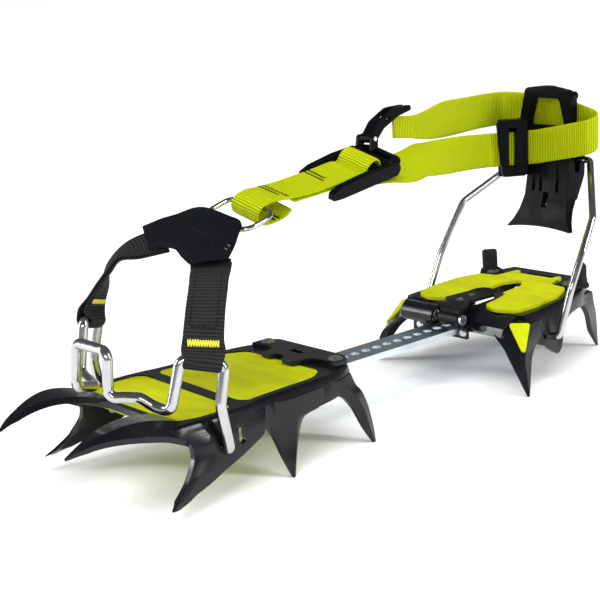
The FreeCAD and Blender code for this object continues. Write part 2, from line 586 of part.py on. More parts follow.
def heel_stop():
    """Rubber stop: a foot under its rivet and an upturned post at the rear corner."""
    foot = slab([(22, 300), (33, 299), (40, 309), (33, 316), (24, 311)], PLATE_TOP, PLATE_TOP + 1.6, 2.5)
    post = slab([(-4.6, -2.3), (4.6, -2.3), (4.6, 2.3), (-4.6, 2.3)], PLATE_TOP, PLATE_TOP + 13.6, 2.1)
    post.rotate(V(0, 0, 0), V(0, 0, 1), -45)
    post.translate(V(34, 310, 0))
    crown = [e for e in post.Edges if min(v.Z for v in e.Vertexes) > PLATE_TOP + 13.5]
    post = post.makeFillet(1.6, crown)
    return tilt_heel(fuse([foot, post]).cut(pin((28, 305, 35), (0, 0, 1), 2.05, 20)))


def heel_rivets():
    return [tilt_heel(rivet(x, 305, PLATE_TOP + 1.6, stem=4.8)) for x in (-28, 28)]


GUIDE_RIVETS = (-19, 12.9)


def bar_guide():
    """Bracket on the heel frame's front that the bar slides through, with the axle housing."""
    y, z = LATCH_AXLE
    sheet = fuse([box((-24, 0.9), (229, 231), (27.0, 40)), box((0.9, 15.6), (229, 231), (27.0, 33.1))])
    way = box((-BAR_HALF - 0.7, BAR_HALF + 0.7), (225, 235), (BAR_TOP - 4, BAR_TOP + 0.6))
    tube = pin((-24, y, z), (1, 0, 0), 5.6, 22.6)
    bore = pin((-21, y, z), (1, 0, 0), 4.4, 40)
    axle_hole = pin((-40, y, z), (1, 0, 0), 2.0, 20)
    bridge = box((-24, -1.4), (y, 230), (34.2, 38))
    relief = [pin((x, 225, 30.4), (0, 1, 0), 1.3, 12) for x in GUIDE_RIVETS]
    return fuse([sheet, bridge, tube]).cut([way, bore, axle_hole] + relief)


def guide_rivets():
    heads = [Part.makeCone(1.6, 2.3, 1.1, V(x, 227.9, 30.4), V(0, 1, 0)) for x in GUIDE_RIVETS]
    return [fuse([h, pin((x, 228.9, 30.4), (0, 1, 0), 1.3, 2.1)]) for h, x in zip(heads, GUIDE_RIVETS)]


def latch_axle():
    y, z = LATCH_AXLE
    return fuse([pin((-25, y, z), (1, 0, 0), 2.0, 42), pin((16.2, y, z), (1, 0, 0), 2.8, 1.2)])


def latch_spring():
    """Torsion spring on the latch axle, inside its housing."""
    y, z = LATCH_AXLE
    coils = [Part.makeTorus(3.1, 0.75, V(-18.6 + 1.9 * k, y, z), V(1, 0, 0)) for k in range(9)]
    link = box((-18.6, -3.4), (y + 2.7, y + 3.5), (z - 0.4, z + 0.4))
    return fuse(coils + [link])


def latch_lever():
    """Sheet steel tongue that lifts the locking pin out of the bar."""
    y, z = LATCH_AXLE
    knuckle = pin((1.6, y, z), (1, 0, 0), 3.6, 14).cut(pin((0, y, z), (1, 0, 0), 2.0 + RUNNING, 20))
    strip = profile_x([(y - 1, z + 3.4), (y - 1, z + 5.6, 2), (y + 10, z + 6.8, 9), (y + 36, z + 6.2, 9),
                       (y + 43.5, z + 7.6), (y + 43.5, z + 5.6), (y + 36, z + 4.4, 9), (y + 10, z + 4.9, 6)],
                      -20, 20)
    plan = slab([(1.6, y - 8, 0), (15.6, y - 8, 0), (15.6, y + 5, 4), (8.2, y + 16, 6), (8.2, y + 43, 7.8),
                 (-8.2, y + 43, 7.8), (-8.2, y + 14, 4), (1.6, y + 7, 2)], z, z + 12)
    root = box((1.6, 15.6), (y - 1, y + 2), (z + 2, z + 5.4))
    pin_hole = pin((0, y + 27.5, z), (0, 0, 1), 1.9, 20)
    rivet_hole = pin((4, y + 13, z), (0, 0, 1), 1.2, 20)
    tongue = fuse([strip.common(plan), knuckle, root.cut(pin((0, y, z), (1, 0, 0), 2.1, 30))])
    return tongue.cut([pin_hole, rivet_hole])


def latch_pin():
    """Locking pin, drawn just above the hole of the bar that it drops into."""
    y, z = LATCH_AXLE[0] + 27.5, LATCH_AXLE[1]
    low = BAR_TOP + 0.4
    return fuse([pin((0, y, low), (0, 0, 1), 2.3, z + 4.3 - low), pin((0, y, z + 4), (0, 0, 1), 1.9, 2.6)])


def latch_rivet():
    y, z = LATCH_AXLE[0] + 13, LATCH_AXLE[1]
    return fuse([Part.makeCone(2.3, 1.4, 0.9, V(4, y, z + 6.95)), pin((4, y, z + 4.7), (0, 0, 1), 1.2, 2.6)])


# ---- heel bail and lever ------------------------------------------------------------
def heel_bail():
    py, pz = HEEL_PIVOT
    cy, cz = CROSSBAR
    near = [(43.6, py, pz, 0), (49.8, py, pz, 3), (52.8, 273.6, 53, 30), (52.6, 284.4, 72, 20), (49.8, 297.4, 88, 7),
            (24, cy, cz, 5)]
    far = [(-22.5, cy, cz, 5), (-46, 299.6, 88, 9), (-49, 281, 58, 30), (-50.4, py, pz, 3), (-43.6, py, pz, 0)]
    return rod(near + far, 5, HEEL_WIRE_R)


def lever_carriage():
    """Block on the crossbar, threaded for the fine adjustment screw."""
    y, z = CROSSBAR
    block = box((-6, 6), (323.4, 336), (z - 5, z + 5))
    return block.cut([pin((-10, y, z), (1, 0, 0), HEEL_WIRE_R + RUNNING, 20),
                      pin((0, SCREW_Y, z - 10), (0, 0, 1), 1.5 + RUNNING, 20)])


def adjust_screw():
    screw = pin((0, SCREW_Y, 86), (0, 0, 1), 1.5, 40)
    head = pin((0, SCREW_Y, 86), (0, 0, 1), 3.0, 3.4)
    slot = box((-0.5, 0.5), (SCREW_Y - 4, SCREW_Y + 4), (85, 87.4))
    return fuse([screw, head]).cut(slot)


KEEPER_Z = (104.5, 138.0)


def keeper():
    """Strap tunnel on the lever's far edge, with a slot between its two bars."""
    low, high = KEEPER_Z
    outline = [(6, -3, low, 3), (22, -3, low, 3), (22, -3, high, 3), (2.6, -3, high, 3)]
    front = Part.Face(rounded(outline, 3, True)).extrude(V(0, 3, 0))
    front = front.cut(box((10, 14.2), (-5, 2), (low + 5.5, high - 5)))
    front = front.makeFillet(1.1, [e for e in front.Edges if e.BoundBox.YMax < -2.9])
    back = box((6, 22), (3.6, 5.4), (low, high))
    caps = [box((7, 21), (-1.2, 5.4), z) for z in ((low, low + 4), (high - 4, high))]
    tunnel = fuse([front, back] + caps)
    tunnel.rotate(V(0, 0, 0), V(0, 0, 1), 60)
    tunnel.translate(V(-22.2, 298.2, 0))
    webs = [box((-18, -12), (318.6, 325), z) for z in ((low, low + 4), (high - 4, high))]
    return fuse([tunnel] + webs)


def lever_handle():
    """Trapezoid pull loop above the strap."""
    y0, y1 = LEVER_Y
    outer = [(-21, 127, 2), (19, 127, 2), (16.6, 137, 8), (17, 151, 1.5), (13.6, 154.2, 2.5), (-1.4, 157, 30),
             (-15.9, 155.6, 3.4), (-19.8, 137, 8)]
    inner = [(-15, 132.8, 2), (12.4, 132.8, 2), (11.4, 138, 4), (8.4, 149.6, 2.4), (-10.4, 150, 2.4), (-14, 138, 4)]

    def ring(points, low, high):
        pts = [(x, low, z, r) for x, z, r in points]
        return Part.Face(rounded(pts, 0, True)).extrude(V(0, high - low, 0))
    nub = pin((15.8, y0 + 0.6, 151.4), (0, 1, 0), 2.4, y1 - y0 - 1.2)
    return fuse([ring(outer, y0, y1), nub]).cut(ring(inner, y0 - 1, y1 + 1))


def lever_body():
    """Heel lever: flared lower lip, hollow spine, strap keeper and pull loop."""
    spine = profile_x([(322.4, 90), (322.4, 134), (327.6, 134, 2), (328.2, 125.4, 1.5), (338.4, 125.4, 4),
                       (338.4, 104, 12), (331, 90)], -15, 15)
    lip = loft([[(-15, 322.4, 104), (15, 322.4, 104), (15, 336, 104), (-15, 336, 104)],
                [(-15.4, 320.4, 92), (15.4, 320.4, 92), (15.4, 330, 92), (-15.4, 330, 92)],
                [(-17, 317.4, 84), (17, 317.4, 84), (17, 324, 84), (-17, 324, 84)],
                [(-19.6, 314.8, 78), (19.6, 314.8, 78), (19.6, 319.4, 78), (-19.6, 319.4, 78)],
                [(-23, 312.6, 73.5), (23, 312.6, 73.5), (23, 315.6, 73.5), (-23, 315.6, 73.5)]])
    arch = Part.makeCylinder(140, 12, V(0, 308, 75.2 - 140), V(0, 1, 0))
    cavity = box((-7.2, 7.2), (322.9, 336.4), (92.6, 123.6))
    screw_way = pin((0, SCREW_Y, 82), (0, 0, 1), 3.3, 12)
    head_seat = pin((0, SCREW_Y, 80), (0, 0, 1), 3.6, 9.9)
    shank_way = pin((0, SCREW_Y, 80), (0, 0, 1), 1.5 + RUNNING + 0.1, 47)
    front_window = box((-1.8, 1.8), (308, SCREW_Y), (86, 94.4))
    wire_slot = profile_x([(CROSSBAR[0] - 2.6, CROSSBAR[1] - 8, 2.4), (CROSSBAR[0] + 2.6, CROSSBAR[1] - 8, 2.4),
                           (CROSSBAR[0] + 2.6, CROSSBAR[1] + 8, 2.4), (CROSSBAR[0] - 2.6, CROSSBAR[1] + 8, 2.4)],
                          -30, 30)
    body = fuse([spine, lip, keeper(), lever_handle()])
    side_flutes = [box((x, x + 2), (321, 322.8), (94, 126)) for x in (-10.4, -5.4, 6.6)]
    return body.cut([arch, cavity, head_seat, shank_way, front_window, wire_slot] + side_flutes)


# ---- export ----------------------------------------------------------------------
def nodes():
    near, far = webbing_solids()
    frame = front_frame()
    yield "front_frame", frame
    yield "front_snow_plate_fore", snow_pad(FORE_WINDOW, frame)
    yield "front_snow_plate_aft", snow_pad(AFT_WINDOW, frame)
    yield "bar_anchor", bar_anchor()
    yield "front_rivets", Part.makeCompound([rivet(x, 120.25, PLATE_TOP + 2.2, stem=5.4) for x in (-25, 25)])
    yield "linking_bar", linking_bar()
    yield "bar_rivet", bar_rivet()
    yield "toe_bail", toe_bail()
    yield "webbing_leg_near", near
    yield "webbing_leg_far", far
    yield "v_patch", v_patch()
    yield "strap_ring", strap_ring()
    yield "ring_strap", ring_strap()
    yield "buckle_frame", buckle_frame()
    yield "buckle_hook", buckle_hook()
    yield "hook_axle", hook_axle()
    yield "long_strap", long_strap()
    yield "heel_frame", heel_frame()
    yield "heel_snow_plate", heel_snow_plate()
    yield "point_insert_near", point_insert()
    yield "point_insert_far", mirrored(point_insert())
    yield "heel_stop_near", heel_stop()
    yield "heel_stop_far", mirrored(heel_stop())
    yield "heel_rivets", Part.makeCompound(heel_rivets())
    yield "bar_guide", bar_guide()
    yield "guide_rivets", Part.makeCompound(guide_rivets())
    yield "latch_axle", latch_axle()
    yield "latch_spring", latch_spring()
    yield "latch_lever", latch_lever()
    yield "latch_pin", latch_pin()
    yield "latch_rivet", latch_rivet()
    yield "heel_bail", heel_bail()
    yield "lever_carriage", lever_carriage()
    yield "adjust_screw", adjust_screw()
    yield "lever_body", lever_body()


os.makedirs("parts", exist_ok=True)
for name, shape in nodes():
    shape = shape.copy()
    shape.translate(V(0, -MIDDLE_Y, -GROUND_Z))
    print(name, shape.ShapeType, "solids", len(shape.Solids), "valid", shape.isValid(),
          "volume %.0f" % shape.Volume)
    shape.exportStep("parts/%s.step" % name)
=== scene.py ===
"""Looks of the crampon: lacquered frames, lime plates, wire bails and the sewn harness."""
import json
import math
import random

import bpy
import numpy as np
from mathutils import Matrix, Vector


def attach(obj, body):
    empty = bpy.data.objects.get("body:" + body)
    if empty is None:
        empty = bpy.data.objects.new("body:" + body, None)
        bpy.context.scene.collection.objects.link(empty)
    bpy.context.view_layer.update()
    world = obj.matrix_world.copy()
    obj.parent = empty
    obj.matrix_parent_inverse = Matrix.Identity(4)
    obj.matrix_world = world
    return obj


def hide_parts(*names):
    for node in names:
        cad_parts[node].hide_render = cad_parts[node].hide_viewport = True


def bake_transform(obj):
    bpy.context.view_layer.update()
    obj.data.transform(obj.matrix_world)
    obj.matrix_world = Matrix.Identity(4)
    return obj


MIDDLE_Y, GROUND_Z = 151.0, 2.0         # the row's origin in the CAD design's own frame, in millimetres
VIEW = (48.2, 13.8, -2.8)               # the camera's azimuth, elevation and roll in degrees
VIEW_DISTANCE, VIEW_LENS = 0.662, 78    # metres, millimetres
CREASE = 24                             # edges sharper than this many degrees stay sharp
LEG_THICK, LEG_GAP, LEG_FOLD = 1.5, 0.8, 3.75       # black webbing: one layer, half the gap, fold round the wire
SHORT_THICK, LONG_THICK = 1.45, 1.5                 # lime straps


def at(x, y, z):
    """A point of the CAD design, in metres in the row frame."""
    return Vector((x, y - MIDDLE_Y, z - GROUND_Z)) / 1000


# ---- node materials ---------------------------------------------------------------
class Shader:
    """Short way to write a node material around one Principled shader."""

    def __init__(self, name, **sockets):
        self.mat = bpy.data.materials.new(name)
        self.mat.use_nodes = True
        self.tree = self.mat.node_tree
        self.bsdf = self.tree.nodes["Principled BSDF"]
        for key, value in sockets.items():
            self.bsdf.inputs[key.replace("_", " ")].default_value = value

    def node(self, kind, **values):
        n = self.tree.nodes.new(kind)
        for key, value in values.items():
            if hasattr(n, key):
                setattr(n, key, value)
            else:
                self.put(n.inputs[key.replace("_", " ")], value)
        return n

    def put(self, socket, value):
        if isinstance(value, bpy.types.NodeSocket):
            self.tree.links.new(value, socket)
        elif isinstance(value, bpy.types.Node):
            self.tree.links.new(value.outputs[0], socket)
        else:
            socket.default_value = value

    def place(self, uv=False, scale=(1, 1, 1)):
        """Coordinates in metres: the object's own, or (across, along) on a band."""
        where = self.node("ShaderNodeTexCoord").outputs["UV" if uv else "Object"]
        return self.node("ShaderNodeMapping", Vector=where, Scale=scale).outputs[0]

    def noise(self, scale, where=None, detail=4.0, rough=0.55):
        n = self.node("ShaderNodeTexNoise", Scale=scale, Detail=detail, Roughness=rough)
        self.put(n.inputs["Vector"], where if where is not None else self.place())
        return n.outputs["Fac"]

    def math(self, operation, a, b=0.0, c=0.0):
        n = self.node("ShaderNodeMath", operation=operation)
        for socket, value in zip(n.inputs, (a, b, c)):
            self.put(socket, value)
        return n.outputs[0]

    def span(self, value, low, high, to_low=0.0, to_high=1.0):
        n = self.node("ShaderNodeMapRange", Value=value)
        for key, v in (("From Min", low), ("From Max", high), ("To Min", to_low), ("To Max", to_high)):
            self.put(n.inputs[key], v)
        return n.outputs[0]

    def mix(self, fac, a, b):
        n = self.node("ShaderNodeMix", data_type="RGBA")
        self.put(n.inputs[0], fac)
        for socket, value in ((n.inputs[6], a), (n.inputs[7], b)):
            self.put(socket, value if not isinstance(value, tuple) else (*value, 1.0)[:4])
        return n.outputs[2]

    def color(self, value):
        self.put(self.bsdf.inputs["Base Color"], value if not isinstance(value, tuple) else (*value, 1.0)[:4])
        return self

    def rough(self, value):
        self.put(self.bsdf.inputs["Roughness"], value)
        return self

    def soften(self, radius):
        """Rounded edges for the shading of moulded and pressed parts."""
        self.put(self.bsdf.inputs["Normal"], self.node("ShaderNodeBevel", samples=4, Radius=radius))
        return self

    def bump(self, height, distance, strength=1.0):
        n = self.node("ShaderNodeBump", Strength=strength, Distance=distance, Height=height)
        previous = self.bsdf.inputs["Normal"].links
        if previous:
            self.put(n.inputs["Normal"], previous[0].from_socket)
        self.put(self.bsdf.inputs["Normal"], n.outputs[0])
        return self


def lacquer(name, base, low, high, level, coat):
    """Dark coating on folded steel, with faint orange peel and a little dust and rubbing."""
    s = Shader(name, Specular_IOR_Level=level, Coat_Weight=coat, Coat_Roughness=0.1).soften(0.0006)
    cloud = s.noise(38, detail=6)
    speck = s.noise(900, detail=2)
    dust = s.span(cloud, 0.42, 0.75)
    s.color(s.mix(s.math("MULTIPLY", dust, 0.35), base, tuple(c * 2.0 + 0.003 for c in base)))
    s.rough(s.span(s.math("ADD", cloud, s.math("MULTIPLY", speck, 0.3)), 0.35, 0.95, low, high))
    s.bump(s.noise(520, detail=3), 0.00005, 0.4)
    s.bump(s.noise(60, detail=2), 0.0004, 0.15)
    return s.mat


def moulded(name, base, low, high, level):
    """Injection moulded plastic with a spark-eroded grain and faint flow marks."""
    s = Shader(name, Specular_IOR_Level=level).soften(0.0005)
    cloud = s.noise(70, detail=5)
    flow = s.noise(1.0, s.place(scale=(26, 160, 60)), detail=4)
    tone = s.math("ADD", s.math("MULTIPLY", cloud, 0.5), s.math("MULTIPLY", flow, 0.5))
    s.color(s.mix(s.span(tone, 0.35, 0.68), tuple(c * 0.84 for c in base), tuple(c * 1.1 for c in base)))
    s.rough(s.span(cloud, 0.3, 0.7, low, high))
    s.bump(s.noise(1400, detail=2), 0.00005, 0.6)
    s.bump(flow, 0.0002, 0.2)
    return s.mat


def steel(name, base, rough, stretch, depth=0.00003):
    """Drawn or rolled steel: fine lines along the direction in which stretch is small."""
    s = Shader(name, Metallic=1.0)
    lines = s.noise(1.0, s.place(scale=stretch), detail=5)
    cloud = s.noise(90, detail=4)
    s.color(s.mix(s.span(cloud, 0.35, 0.7), tuple(c * 0.86 for c in base), base))
    wear = s.math("ADD", lines, s.math("MULTIPLY", cloud, 0.5))
    s.rough(s.span(wear, 0.5, 1.05, rough * 0.75, rough * 1.4))
    s.bump(lines, depth, 0.6)
    return s.mat


def woven(name, base, dark, rib, depth):
    """Webbing: ribs across the band at a pitch of rib metres, with yarns running along it; the colour turns to
    dark in the rib troughs as painted shade.
    """
    s = Shader(name, Specular_IOR_Level=0.1)
    uv = s.place(uv=True)
    parts = s.node("ShaderNodeSeparateXYZ", Vector=uv)
    wobble = s.noise(1.0, s.place(uv=True, scale=(160, 420, 1)), detail=3)
    run = s.math("ADD", s.math("MULTIPLY", parts.outputs[1], 1 / rib), s.math("MULTIPLY", wobble, 0.7))
    ribs = s.math("ABSOLUTE", s.math("SINE", s.math("MULTIPLY", run, math.pi)))
    yarn = s.noise(1.0, s.place(uv=True, scale=(2600, 300, 1)), detail=2)
    worn = s.noise(1.0, s.place(uv=True, scale=(70, 900, 1)), detail=4, rough=0.7)
    # painted shade: the colour darkens in the troughs of the ribs; the streaky worn noise is the yarn's own tone
    tone = s.math("ADD", s.math("MULTIPLY", ribs, 0.7), s.math("MULTIPLY", worn, 0.5))
    s.color(s.mix(s.span(tone, 0.2, 0.85), dark, base))
    s.rough(s.span(yarn, 0.3, 0.7, 0.62, 0.84))
    s.bump(ribs, depth, 0.8)
    s.bump(yarn, depth * 0.6, 0.6)
    return s.mat


def cloth(name, base, dark, pitch, depth):
    """Tight plain weave with a slight crease relief."""
    s = Shader(name, Specular_IOR_Level=0.1)
    parts = s.node("ShaderNodeSeparateXYZ", Vector=s.place(uv=True))
    a = s.math("SINE", s.math("MULTIPLY", parts.outputs[0], 2 * math.pi / pitch))
    b = s.math("SINE", s.math("MULTIPLY", parts.outputs[1], 2 * math.pi / pitch))
    weave = s.math("MULTIPLY", a, b)
    cloud = s.noise(120, detail=5)
    s.color(s.mix(s.span(s.math("ADD", s.math("MULTIPLY", weave, 0.25), cloud), 0.25, 0.85), dark, base))
    s.rough(s.span(cloud, 0.3, 0.7, 0.6, 0.82))
    s.bump(weave, depth, 0.7)
    s.bump(s.noise(150, detail=3), 0.0006, 0.25)
    return s.mat


def thread(name, base, rough=0.5, level=0.4, sheen=0.4):
    """Twisted sewing thread."""
    s = Shader(name, Specular_IOR_Level=level, Sheen_Weight=sheen)
    twist = s.noise(5200, detail=1)
    s.color(s.mix(twist, tuple(c * 0.6 for c in base), tuple(min(1, c * 1.25) for c in base)))
    s.rough(s.span(twist, 0.3, 0.7, rough - 0.1, rough + 0.15))
    s.bump(twist, 0.00006, 0.5)
    return s.mat


def rubber(name):
    s = Shader(name, Specular_IOR_Level=0.2).soften(0.0006)
    cloud = s.noise(160, detail=5)
    s.color(s.mix(cloud, (0.006, 0.006, 0.0065), (0.015, 0.0155, 0.0165)))
    s.rough(s.span(cloud, 0.3, 0.7, 0.45, 0.7))
    s.bump(s.noise(1100, detail=3), 0.00012, 0.6)
    return s.mat


def make_materials():
    return {
        "black_steel": lacquer("black_lacquer", (0.0035, 0.0038, 0.0052), 0.14, 0.34, level=0.24, coat=0.1),
        "latch_steel": lacquer("latch_lacquer", (0.004, 0.004, 0.0045), 0.3, 0.5, level=0.14, coat=0.03),
        "bar_steel": steel("bar_steel", (0.74, 0.82, 0.88), 0.34, (1500, 30, 1500)),
        "wire_steel": steel("polished_wire", (0.54, 0.54, 0.54), 0.16, (300, 300, 300), 0.000005),
        "rivet_steel": steel("rivet_steel", (0.62, 0.63, 0.64), 0.22, (900, 900, 300)),
        "screw_steel": steel("blued_steel", (0.3, 0.46, 0.54), 0.25, (900, 900, 300)),
        "lime_plastic": moulded("lime_plastic", (0.43, 0.46, 0.0011), 0.45, 0.62, level=0.12),
        "black_plastic": moulded("black_plastic", (0.0024, 0.0026, 0.0034), 0.22, 0.38, level=0.05),
        "rubber": rubber("rubber"),
        "black_webbing": woven("black_webbing", (0.021, 0.021, 0.0215), (0.0055, 0.0055, 0.006),
                               0.0016, 0.0004),
        "lime_webbing": woven("lime_webbing", (0.42, 0.48, 0.001), (0.19, 0.24, 0.0008), 0.00125, 0.0006),
        "patch_fabric": cloth("patch_fabric", (0.0046, 0.0058, 0.0088), (0.0022, 0.0026, 0.004),
                              0.00055, 0.00008),
        "yellow_thread": thread("yellow_thread", (0.78, 0.68, 0.02)),
        "dark_thread": thread("dark_thread", (0.03, 0.04, 0.006), 0.6, 0.1, 0.0),
        "black_thread": thread("black_thread", (0.011, 0.013, 0.019), 0.6, 0.12, 0.0),
        "seam_thread": thread("seam_thread", (0.005, 0.005, 0.0055), 0.6, 0.1, 0.0),
        "grey_thread": thread("grey_thread", (0.2, 0.2, 0.2)),
    }


# ---- camera, floor and light --------------------------------------------------------
def camera():
    azimuth, elevation, roll = (math.radians(v) for v in VIEW)
    back = Vector((math.sin(azimuth) * math.cos(elevation), -math.cos(azimuth) * math.cos(elevation),
                   math.sin(elevation)))
    level = Vector((math.cos(azimuth), math.sin(azimuth), 0))
    upright = back.cross(level)
    right = math.cos(roll) * level + math.sin(roll) * upright
    up = -math.sin(roll) * level + math.cos(roll) * upright
    data = bpy.data.cameras.new("camera")
    data.sensor_width = 36
    data.lens = VIEW_LENS
    data.clip_start = 0.01
    cam = bpy.data.objects.new("camera", data)
    turn = Matrix((right, up, back)).transposed().to_4x4()
    where = at(0, 140, 60) + back * VIEW_DISTANCE + right * -0.0142 + up * 0.0049
    cam.matrix_world = Matrix.Translation(where) @ turn
    bpy.context.collection.objects.link(cam)
    bpy.context.scene.camera = cam


def area_light(name, where, target, size, power, color=(1, 1, 1)):
    data = bpy.data.lights.new(name, "AREA")
    data.shape = "RECTANGLE"
    data.size, data.size_y = size
    data.energy = power
    data.color = color
    light = bpy.data.objects.new(name, data)
    light.location = where
    light.rotation_euler = (Vector(target) - Vector(where)).to_track_quat("-Z", "Y").to_euler()
    bpy.context.collection.objects.link(light)


def studio():
    """Wide pale floor under a broad soft light, dim overhead, with narrow strips for crisp highlights."""
    around, radius = 64, 40
    turns = np.linspace(0, 2 * math.pi, around, endpoint=False)
    ring = [(radius * math.cos(t), radius * math.sin(t), 0) for t in turns]
    floor = mesh_object("studio_floor", [(0, 0, 0)] + ring,
                        [(0, 1 + i, 1 + (i + 1) % around) for i in range(around)], smooth=False)
    s = Shader("studio_paper", Specular_IOR_Level=0.05)
    grain = s.noise(60, detail=4)
    s.color(s.mix(grain, (0.9, 0.9, 0.9), (0.93, 0.93, 0.93)))
    s.rough(s.span(grain, 0, 1, 0.85, 0.95))
    floor.data.materials.append(s.mat)
    floor.location.z = -0.0002

    world = bpy.data.worlds.new("studio")
    world.use_nodes = True
    tree = world.node_tree
    bg = tree.nodes["Background"]
    direction = tree.nodes.new("ShaderNodeTexCoord")
    parts = tree.nodes.new("ShaderNodeSeparateXYZ")
    ramp = tree.nodes.new("ShaderNodeMapRange")
    tree.links.new(direction.outputs["Generated"], parts.inputs[0])
    tree.links.new(parts.outputs[2], ramp.inputs["Value"])
    for key, value in (("From Min", 0.02), ("From Max", 0.3), ("To Min", 1.0), ("To Max", 0.34)):
        ramp.inputs[key].default_value = value
    path, dim, scale = (tree.nodes.new("ShaderNode" + kind) for kind in ("LightPath", "MapRange", "Math"))
    scale.operation = "MULTIPLY"
    dim.inputs["To Min"].default_value, dim.inputs["To Max"].default_value = 1.0, 0.4
    tree.links.new(path.outputs["Is Glossy Ray"], dim.inputs["Value"])
    tree.links.new(ramp.outputs[0], scale.inputs[0])
    tree.links.new(dim.outputs[0], scale.inputs[1])
    tree.links.new(scale.outputs[0], bg.inputs[1])
    bg.inputs[0].default_value = (0.96, 0.98, 1.0, 1)
    bpy.context.scene.world = world

    data = bpy.data.lights.new("broad", "SUN")
    data.energy = 2.7
    data.angle = math.radians(55)
    sun = bpy.data.objects.new("broad", data)
    sun.rotation_euler = Vector((0.16, -0.3, 1.0)).to_track_quat("Z", "Y").to_euler()
    sun.visible_glossy = False
    bpy.context.collection.objects.link(sun)
    area_light("left", (-0.9, -0.9, 0.5), (0, 0, 0.05), (0.12, 0.9), 9, (0.95, 0.98, 1.0))
    area_light("right", (1.2, 0.5, 0.75), (0, 0, 0.05), (0.14, 0.9), 12)
    area_light("front", (0.75, -1.05, 0.62), (0, 0, 0.05), (0.8, 0.16), 6, (0.93, 0.97, 1.0))
    view = bpy.context.scene.view_settings
    view.view_transform = "Standard"
    view.look = "None"


# ---- mesh helpers ---------------------------------------------------------------------
def mesh_object(name, verts, faces, smooth=True, uvs=None):
    mesh = bpy.data.meshes.new(name)
    mesh.from_pydata([tuple(v) for v in verts], [], faces)
    if uvs is not None:
        layer = mesh.uv_layers.new(name="band")
        for loop in mesh.loops:
            layer.data[loop.index].uv = uvs[loop.vertex_index]
    mesh.validate()
    mesh.shade_smooth() if smooth else mesh.shade_flat()
    obj = bpy.data.objects.new(name, mesh)
    bpy.context.collection.objects.link(obj)
    return obj


def finish_piece(obj, material, body, *nodes, slot=None):
    obj.data.materials.append(material)
    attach(obj, body)
    if nodes:
        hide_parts(*nodes)
    return obj


def smoothing():
    """Modifier tree that welds the CAD tessellation and shades it smooth below a crease angle."""
    tree = bpy.data.node_groups.new("crease_shading", "GeometryNodeTree")
    tree.interface.new_socket("Geometry", in_out="INPUT", socket_type="NodeSocketGeometry")
    tree.interface.new_socket("Geometry", in_out="OUTPUT", socket_type="NodeSocketGeometry")
    new, link = tree.nodes.new, tree.links.new
    start, end = new("NodeGroupInput"), new("NodeGroupOutput")
    weld = new("GeometryNodeMergeByDistance")
    weld.inputs["Distance"].default_value = 0.000004
    plain = new("GeometryNodeRemoveAttribute")
    plain.inputs["Name"].default_value = "custom_normal"
    faces, edges = new("GeometryNodeSetShadeSmooth"), new("GeometryNodeSetShadeSmooth")
    edges.domain = "EDGE"
    angle, sharp = new("GeometryNodeInputMeshEdgeAngle"), new("FunctionNodeCompare")
    sharp.data_type = "FLOAT"
    sharp.operation = "GREATER_THAN"
    sharp.inputs[1].default_value = math.radians(CREASE)
    link(start.outputs[0], weld.inputs[0])
    link(weld.outputs[0], plain.inputs[0])
    link(plain.outputs[0], faces.inputs[0])
    link(faces.outputs[0], edges.inputs[0])
    link(angle.outputs[0], sharp.inputs[0])
    link(sharp.outputs[0], edges.inputs["Selection"])
    edges.inputs["Shade Smooth"].default_value = False
    link(edges.outputs[0], end.inputs[0])
    return tree


def node_looks(frame, mats):
    """Materials and crease shading for the CAD nodes that stay as they are."""
    slot_of = {s["node"]: s["material_slot"] for s in frame["record"]["subparts"]}
    tree = smoothing()
    for name, obj in frame["nodes"].items():
        obj.data.materials.clear()
        obj.data.materials.append(mats[slot_of[name]])
        obj.modifiers.new("crease_shading", "NODES").node_group = tree


# ---- bands, stitches and cloth ----------------------------------------------------------
def curve(points, steps):
    """Smooth line through rows of numbers."""
    p = np.asarray(points, float)
    out = []
    for k in range(len(p) - 1):
        p0, p1, p2, p3 = p[max(k - 1, 0)], p[k], p[k + 1], p[min(k + 2, len(p) - 1)]
        for i in range(steps):
            t = i / steps
            bend, twist = 2 * p0 - 5 * p1 + 4 * p2 - p3, 3 * p1 - p0 - 3 * p2 + p3
            out.append(p1 + 0.5 * t * (p2 - p0 + t * (bend + t * twist)))
    return np.array(out + [p[-1]])


def unit(v):
    return v / np.linalg.norm(v, axis=-1, keepdims=True)


def tube_faces(sides, rows, base=0):
    """Quads between neighbouring rows of a closed tube, and a cap on each end."""
    around = [(i, (i + 1) % sides) for i in range(sides)]
    quads = [(k * sides + i, k * sides + j, (k + 1) * sides + j, (k + 1) * sides + i)
             for k in range(rows - 1) for i, j in around]
    last = (rows - 1) * sides
    caps = [tuple(range(sides))[::-1], tuple(range(last, last + sides))]
    return [tuple(base + v for v in face) for face in quads + caps]


